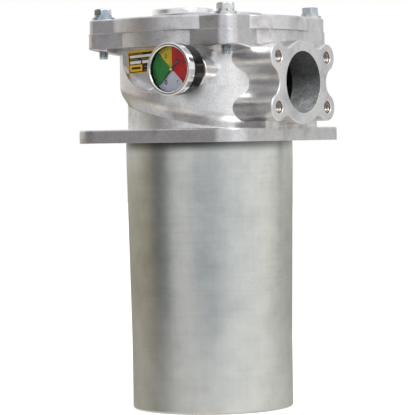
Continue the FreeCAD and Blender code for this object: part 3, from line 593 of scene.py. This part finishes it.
def boltGrid(size, top, foot):
    # Head: the distance to the axis is the smaller of the hexagon's (half its width across flats
    # over the cosine of the turn from the nearest flat) and the chamfer cone's.
    t = np.linspace(0, 2 * np.pi, size["columns"], endpoint=False)
    half = size["flats"] / 2
    shank = size["shank"]
    seat = top - size["headHeight"]
    hexagon = half / np.cos((t + np.pi / 6) % (np.pi / 3) - np.pi / 6)
    drops = np.array(size["drops"] + [size["headHeight"] - size["step"]])
    cone = half * size["face"] + drops / math.tan(math.radians(size["chamfer"]))
    head = np.minimum(hexagon[None, :], cone[:, None])
    plain, smaller = size["tip"]
    z = np.arange(foot + size["threadLength"], foot + plain, -size["pitch"] / threadShape["rows"])
    thread = threadRows(shank, shank - size["threadDepth"] * size["pitch"], size["pitch"], z, t)
    rows, fall = size["runOut"]
    thread[:rows] = np.maximum(thread[:rows], shank - np.linspace(0, fall, rows)[:, None])
    ring = np.ones_like(t)[None, :]
    under = half * size["washerFace"] * ring
    radii = [0 * ring, head, under, under, shank * ring, thread, (shank - smaller) * ring, 0 * ring]
    heights = [[top], top - drops, [seat + size["step"]], [seat], [seat], z, [foot], [foot]]
    r = np.concatenate(radii)
    h = np.concatenate(heights)[:, None] * ring
    return np.stack([r * np.cos(t), r * np.sin(t), h], -1) * mm


def turned(grid, degrees):
    # the whole grid turned about Z
    c, s = math.cos(math.radians(degrees)), math.sin(math.radians(degrees))
    x, y, z = grid[..., 0], grid[..., 1], grid[..., 2]
    return np.stack([x * c - y * s, x * s + y * c, z], -1)


boltLow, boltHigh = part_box("cover_bolts")
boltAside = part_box("cover_washers")[1].x - boltSize["washerRadius"] * mm
boltPlace = boltAside * np.array([1.0, 1.0, 0.0])
oneBolt = boltGrid(boltSize, boltHigh.z / mm, boltLow.z / mm)
boltGrids = []
for n in range(4):
    upright = turned(oneBolt, boltSize["spin"] * n + boltSize["firstTurn"])
    boltGrids.append(turned(upright + boltPlace, 90 * n))
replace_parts(makePiece("hexBolts", boltGrids, [boltZinc], sharp=28), "cover_bolts")
print("cover bolts made")


tapSize = {
    "pitch": 1.75, "length": 15.0, "depth": 0.85, "start": 0.9, "columns": 40,
    "root": 0.06, "back": 0.02,        # mm that the thread's root and the sleeve's back clear the hole
}


def tapGrid(size, radius):
    # a closed sleeve: the threaded wall on the inside, then a plain wall just inside the hole
    t = np.linspace(0, 2 * np.pi, size["columns"], endpoint=False)
    z = np.arange(-size["start"], -size["length"], -size["pitch"] / threadShape["rows"])
    inner = threadRows(radius - size["depth"], radius - size["root"], size["pitch"], z, t)
    ring = np.ones_like(t)[None, :]
    outer = (radius - size["back"]) * ring
    r = np.concatenate([inner, outer, outer, inner[:1]])
    h = np.concatenate([z, z[-1:], z[:1], z[:1]])[:, None] * ring
    return np.stack([h, r * np.cos(t), r * np.sin(t)], -1) * mm


oneTap = tapGrid(tapSize, portPattern["hole_r_mm"])
tapGrids = []
for y in (-1, 1):
    for z in (-1, 1):
        place = np.array([portFace, y * portPattern["spacing_x_mm"] / 2 * mm,
                          portMiddle[2] + z * portPattern["spacing_y_mm"] / 2 * mm])
        tapGrids.append(oneTap + place)
tapMetal = plainMetal("tappedAluminiumThread", "#8d8983", "#aca7a0", 0.3, 1.5)
makePiece("portThreads", tapGrids, [tapMetal], sharp=40)
print("port threads made")


bezelSize = {"opening": 22.6, "shoulder": 1.5, "fall": 1.1, "wall": 1.15, "lip": 1.9, "columns": 192,
             "steps": 12}


def bezelGrid(size, front, back, outer):
    # Turned round the gauge's axis from (radius, depth) points. The lip is a quarter ellipse from
    # the wall to its crown and a second, flatter one from there in to the opening.
    u = np.linspace(0, np.pi / 2, size["steps"])
    crown = outer - size["shoulder"]
    outside = np.stack([crown + size["shoulder"] * np.cos(u), size["shoulder"] * (1 - np.sin(u))], -1)
    inside = np.stack([crown - (crown - size["opening"]) * np.sin(u), size["fall"] * (1 - np.cos(u))], -1)
    inner = outer - size["wall"]
    profile = np.concatenate([[[inner, back], [outer, back]], outside, inside[1:],
                              [[size["opening"], size["lip"]], [inner, size["lip"]], [inner, back]]])
    t = np.linspace(0, 2 * np.pi, size["columns"], endpoint=False)
    x = gaugeAxis[0] + profile[:, :1] * np.cos(t) * mm
    z = gaugeAxis[2] + profile[:, :1] * np.sin(t) * mm
    return np.stack([x, front + profile[:, 1:] * mm + 0 * x, z], -1)


bezelLow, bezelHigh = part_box("gauge_bezel")
bezelDepth = (bezelHigh.y - bezelLow.y) / mm
bezelRadius = (bezelHigh.x - bezelLow.x) / 2 / mm
rim = bezelGrid(bezelSize, bezelLow.y, bezelDepth, bezelRadius)
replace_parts(makePiece("gaugeRim", [rim], [chrome], sharp=35), "gauge_bezel")
print("gauge rim made")


dialSize = {
    "lift": 0.04,
    # from and to, in degrees anticlockwise from the right, of each painted field
    "fields": [(225, 136, dialGreen), (136, 90, dialYellow), (90, -45, dialRed), (-45, -135, dialGrey)],
    "outer": 23.8,
    "inner": 1.6,
    "arcStep": 3,              # degrees between points of an arc
    "printLift": 0.03,         # mm that ticks and figures stand off the fields
    "start": 225,              # degrees of the first tick, and how far the last is from it
    "sweep": 270,
    "ticks": 28,
    "longEvery": 9,
    # inner radius and half width in degrees of the long ticks, then of the others
    "tickShapes": [(17.4, 1.5), (19.6, 0.8)],
    "tickOuter": 22.0,
    # each figure, its place right and up from the middle, and its height
    "numbers": [("0", -9.0, -15.0, 6.4), ("6", 5.2, -15.0, 6.4), ("5", 12.0, -6.5, 5.2),
                ("4", 13.0, 4.6, 5.2), ("3", 4.6, 11.8, 5.2), ("2", -8.6, 11.4, 5.2),
                ("1", -16.0, 1.6, 5.2)],
    "boldness": 0.22,
}


def sectorGrid(high, low, inner, outer, height):
    # an arc of a flat ring between two angles, facing the reader
    t = np.radians(np.linspace(high, low, max(2, int(abs(high - low) / dialSize["arcStep"]) + 1)))
    r = np.array([inner, outer]) * mm
    x = gaugeAxis[0] + np.outer(r, np.cos(t))
    z = gaugeAxis[2] + np.outer(r, np.sin(t))
    return np.stack([x, np.full_like(x, height), z], -1)


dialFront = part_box("gauge_dial")[0].y - dialSize["lift"] * mm
printFront = dialFront - dialSize["printLift"] * mm
inks = [f[2] for f in dialSize["fields"]] + [black]
grids = [sectorGrid(high, low, dialSize["inner"], dialSize["outer"], dialFront)
         for high, low, ink in dialSize["fields"]]
fields = list(range(len(grids)))
for n in range(dialSize["ticks"]):
    middle = dialSize["start"] - dialSize["sweep"] * n / (dialSize["ticks"] - 1)
    inner, wide = dialSize["tickShapes"][0 if n % dialSize["longEvery"] == 0 else 1]
    grids.append(sectorGrid(middle + wide, middle - wide, inner, dialSize["tickOuter"], printFront))
    fields.append(len(inks) - 1)
makePiece("dialPrint", grids, inks, wrap=False, fields=fields)


def makeNumbers(numbers, height):
    # plain figures, laid on the dial and turned to face the reader
    points = []
    faces = []
    start = 0
    for text, x, z, size in numbers:
        curve = bpy.data.curves.new("figure" + text, "FONT")
        curve.body = text
        curve.size = size * mm
        curve.offset = dialSize["boldness"] * mm
        shown = bpy.data.objects.new("figure" + text, curve)
        bpy.context.scene.collection.objects.link(shown)
        flat = bpy.data.meshes.new_from_object(shown.evaluated_get(bpy.context.evaluated_depsgraph_get()))
        at = np.empty(len(flat.vertices) * 3)
        flat.vertices.foreach_get("co", at)
        at = at.reshape(-1, 3)
        points.append(np.stack([at[:, 0] + gaugeAxis[0] + x * mm, np.full(len(at), height),
                                at[:, 1] + gaugeAxis[2] + z * mm], -1))
        faces += [[v + start for v in face.vertices] for face in flat.polygons]
        start += len(at)
        bpy.data.objects.remove(shown)
        bpy.data.meshes.remove(flat)
        bpy.data.curves.remove(curve)
    mesh = bpy.data.meshes.new("dialNumbers")
    mesh.from_pydata(np.concatenate(points).tolist(), [], faces)
    showPiece("dialNumbers", mesh, [black], "housing")


makeNumbers(dialSize["numbers"], printFront)
print("dial made")


plateSize = {
    "turn": 3.0, "lift": 0.03,
    # left, right, bottom and top of each field from the plate's middle, its ink and its layer
    "fields": [
        (-23.9, 23.9, -10.7, 10.7, plateBlack, 1), (-23.9, 23.9, 9.4, 10.7, plateYellow, 2),
        (-22.6, -6.0, 7.4, 8.6, plateOlive, 2), (-22.6, 22.6, 4.2, 6.8, plateWhite, 2),
        (-22.6, -12.0, 1.9, 3.2, plateOlive, 2), (-8.0, 10.0, 1.9, 3.2, plateOlive, 2),
        (-22.6, -8.6, -1.9, 1.0, plateWhite, 2), (-7.0, 22.6, -1.9, 1.0, plateWhite, 2),
        (-23.2, -7.4, -9.8, -2.9, plateYellow, 2), (-20.6, -9.6, -7.4, -5.2, plateBlack, 3),
        (-5.0, 22.6, -6.0, -5.0, plateOlive, 2), (-5.0, 22.6, -9.4, -8.4, plateOlive, 2),
    ],
}
plateLow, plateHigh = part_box("rating_plate")
plateMiddle = (plateLow + plateHigh) / 2
tilt = math.radians(plateSize["turn"])
grids = []
for left, right, bottom, top, ink, layer in plateSize["fields"]:
    u, v = np.meshgrid([left, right], [bottom, top])
    x = plateMiddle.x + (u * math.cos(tilt) - v * math.sin(tilt)) * mm
    z = plateMiddle.z + (u * math.sin(tilt) + v * math.cos(tilt)) * mm
    grids.append(np.stack([x, np.full_like(x, plateLow.y - plateSize["lift"] * layer * mm), z], -1))
inks = [f[4] for f in plateSize["fields"]]
makePiece("platePrint", grids, inks, wrap=False, fields=list(range(len(inks))))
print("plate made")


studio = {
    "floorSize": 12.0,         # metres
    "floorPoints": 9,          # along each side
    "floorTones": ("#f4f4f3", "#f9f9f8"),
    "floorRoughness": 0.8,
    "floorSpotMm": 300.0,
    "floorGlow": 0.5,
    "levelLight": 0.85,
    "keyWatts": 20.0,
    "keyPlace": (1.6, -0.6, 1.3),      # metres, and the lamp's sides too
    "keySize": (1.0, 1.0),
    "keyTint": "#fffdf8",
    # From and to which height of the looking direction, 1 being straight up, each tone takes over.
    "eyeLevel": (-0.03, 0.02),
    "ceilingFrom": (0.3, 0.8),
    "groundFrom": (-0.15, -0.55),
    # What polished metal sees round the room, by degrees from the camera, positive to its right.
    # Above eye level: a white room with a grey screen on the left and a narrow dark one on the right.
    "wallsAbove": [(-180, "#f6f5f4"), (-124, "#f6f4f2"), (-98, "#cdc5bd"), (-84, "#857d76"),
                   (-66, "#7c7a82"), (-54, "#c9c8cc"), (-34, "#fafafb"), (0, "#eceef1"), (14, "#f2f3f5"),
                   (24, "#ffffff"), (110, "#ffffff"), (112, "#3c494e"), (117, "#3c494e"),
                   (120, "#f0efed"), (180, "#f6f5f4")],
    # Below it: the room is darker, warmer behind, with one more grey screen in front.
    "wallsBelow": [(-180, "#a59e8f"), (-116, "#9a9380"), (-94, "#8a8471"), (-80, "#59605f"),
                   (-66, "#7f8382"), (-52, "#cbcbca"), (-34, "#cbcac9"), (-18, "#9ba1a8"), (4, "#a5acb3"),
                   (26, "#d3d7db"), (60, "#e9eae9"), (84, "#f0efe6"), (104, "#cbcbc5"), (132, "#b0b0a9"),
                   (180, "#a59e8f")],
    "ceiling": "#f8f8f7",
    "ground": "#efe7de",
}
view = {
    "distance": 2404.32, "azimuth": 35.37, "height": 4.62, "tilt": 1.74, "yaw": 0.07, "roll": -0.93,
    "focal": 2309.55, "frame": 415.0,          # in the photo's pixels
    "sensor": 36.0,                            # mm
    "far": 50.0,                               # metres
}


def makeFloor():
    # Painted studio floor, near white: shown lit to the camera so that only the shadow darkens it.
    # Polished metal looks through it at the room.
    material, shader = newMaterial("paintedStudioFloor", Roughness=studio["floorRoughness"])
    addNode(material, "ValToRGB", {"stops": tones(*studio["floorTones"])},
            {0: spots(material, studio["floorSpotMm"], 2.0)}, shader.inputs["Base Color"])
    rays = addNode(material, "LightPath").outputs
    seen = addNode(material, "Math", {"operation": "MAXIMUM"},
                   {0: rays["Is Camera Ray"], 1: rays["Is Transmission Ray"]}).outputs[0]
    glow = addNode(material, "Emission", {}, {"Color": (1, 1, 1, 1),
                                              "Strength": studio["floorGlow"]}).outputs[0]
    shown = addNode(material, "AddShader", {}, {0: shader.outputs[0], 1: glow}).outputs[0]
    lit = addNode(material, "MixShader", {}, {0: seen, 1: shader.outputs[0], 2: shown}).outputs[0]
    clear = addNode(material, "BsdfTransparent").outputs[0]
    addNode(material, "MixShader", {}, {0: rays["Is Glossy Ray"], 1: lit, 2: clear},
            material.node_tree.nodes["Material Output"].inputs[0])
    half = studio["floorSize"] / 2
    count = studio["floorPoints"]
    u = np.linspace(-half, half, count)
    x, y = np.meshgrid(u, u)
    mesh = bpy.data.meshes.new("studioFloor")
    points = np.stack([x, y, np.full_like(x, floorHeight)], -1)
    mesh.from_pydata(points.reshape(-1, 3).tolist(), [], gridFaces(count, count, False).tolist())
    mesh.materials.append(material)
    floor = bpy.data.objects.new("studioFloor", mesh)
    bpy.context.scene.collection.objects.link(floor)


def makeWorld():
    # Level light for every dull surface, white for the camera and through the window, and a white
    # room with grey screens for what mirrors it.
    world = bpy.data.worlds.new("studioRoom")
    bpy.context.scene.world = world
    world.use_nodes = True
    world.node_tree.nodes.clear()
    axes = addNode(world, "SeparateXYZ", {}, {0: addNode(world, "TexCoord").outputs["Generated"]}).outputs
    back = addNode(world, "Math", {"operation": "MULTIPLY"}, {0: axes[1], 1: -1.0}).outputs[0]
    turn = addNode(world, "Math", {"operation": "ARCTAN2"}, {0: axes[0], 1: back}).outputs[0]
    azimuth = math.radians(view["azimuth"])
    aside = addNode(world, "Math", {"operation": "SUBTRACT"}, {0: turn, 1: azimuth}).outputs[0]
    aside = addNode(world, "Math", {"operation": "WRAP"}, {0: aside, 1: math.pi, 2: -math.pi}).outputs[0]
    part = addNode(world, "MapRange", {}, {0: aside, 1: -math.pi, 2: math.pi, 3: 0.0, 4: 1.0}).outputs[0]
    walls = [addNode(world, "ValToRGB", {"stops": [((a + 180) / 360, code) for a, code in studio[name]]},
                     {0: part}).outputs[0] for name in ("wallsBelow", "wallsAbove")]
    steps = ((studio["eyeLevel"], walls[1]), (studio["ceilingFrom"], linear(studio["ceiling"])),
             (studio["groundFrom"], linear(studio["ground"])))
    colour = walls[0]
    for (low, high), tone in steps:
        step = addNode(world, "MapRange", {"interpolation_type": "SMOOTHSTEP"},
                       {0: axes[2], 1: low, 2: high}).outputs[0]
        colour = addNode(world, "Mix", {"data_type": "RGBA"}, {0: step, 6: colour, 7: tone}).outputs[2]
    rays = addNode(world, "LightPath").outputs
    seen = addNode(world, "Math", {"operation": "MAXIMUM"},
                   {0: rays["Is Camera Ray"], 1: rays["Is Transmission Ray"]}).outputs[0]
    level = addNode(world, "Background", {}, {"Color": (1, 1, 1, 1),
                                              "Strength": studio["levelLight"]}).outputs[0]
    room = addNode(world, "Background", {}, {"Color": colour, "Strength": 1.0}).outputs[0]
    white = addNode(world, "Background", {}, {"Color": (1, 1, 1, 1), "Strength": 1.0}).outputs[0]
    mixed = addNode(world, "MixShader", {}, {0: rays["Is Glossy Ray"], 1: level, 2: room}).outputs[0]
    mixed = addNode(world, "MixShader", {}, {0: seen, 1: mixed, 2: white}).outputs[0]
    addNode(world, "OutputWorld", {}, {0: mixed})


def makeLamp(name, place, target, size, watts, tint):
    lamp = bpy.data.lights.new(name, "AREA")
    lamp.shape = "RECTANGLE"
    lamp.size, lamp.size_y = size
    lamp.energy = watts
    lamp.color = linear(tint)[:3]
    holder = bpy.data.objects.new(name, lamp)
    bpy.context.scene.collection.objects.link(holder)
    holder.location = place
    holder.rotation_euler = (Vector(target) - Vector(place)).to_track_quat("-Z", "Y").to_euler()


def makeCamera():
    # place, direction and roll as fitted to the photograph
    az, tilt, yaw, roll = (math.radians(view[k]) for k in ("azimuth", "tilt", "yaw", "roll"))
    turn = az + yaw
    forward = Vector((-math.sin(turn) * math.cos(tilt), math.cos(turn) * math.cos(tilt), -math.sin(tilt)))
    side = Vector((math.cos(turn), math.sin(turn), 0))
    up = side.cross(forward)
    across = side * math.cos(roll) + up * math.sin(roll)
    above = up * math.cos(roll) - side * math.sin(roll)
    place = Vector((view["distance"] * math.sin(az), -view["distance"] * math.cos(az), view["height"])) * mm
    lens = bpy.data.cameras.new("photoCamera")
    lens.sensor_width = view["sensor"]
    lens.lens = view["focal"] / view["frame"] * view["sensor"]
    lens.clip_end = view["far"]
    camera = bpy.data.objects.new("photoCamera", lens)
    bpy.context.scene.collection.objects.link(camera)
    basis = Matrix((across, above, -forward)).transposed().to_4x4()
    camera.matrix_world = Matrix.Translation(place) @ basis
    bpy.context.scene.camera = camera


makeFloor()
makeWorld()
makeLamp("keyLamp", studio["keyPlace"], (0, 0, 0), studio["keySize"], studio["keyWatts"],
         studio["keyTint"])
makeCamera()
bpy.context.scene.view_settings.view_transform = "Standard"
print("studio ready")
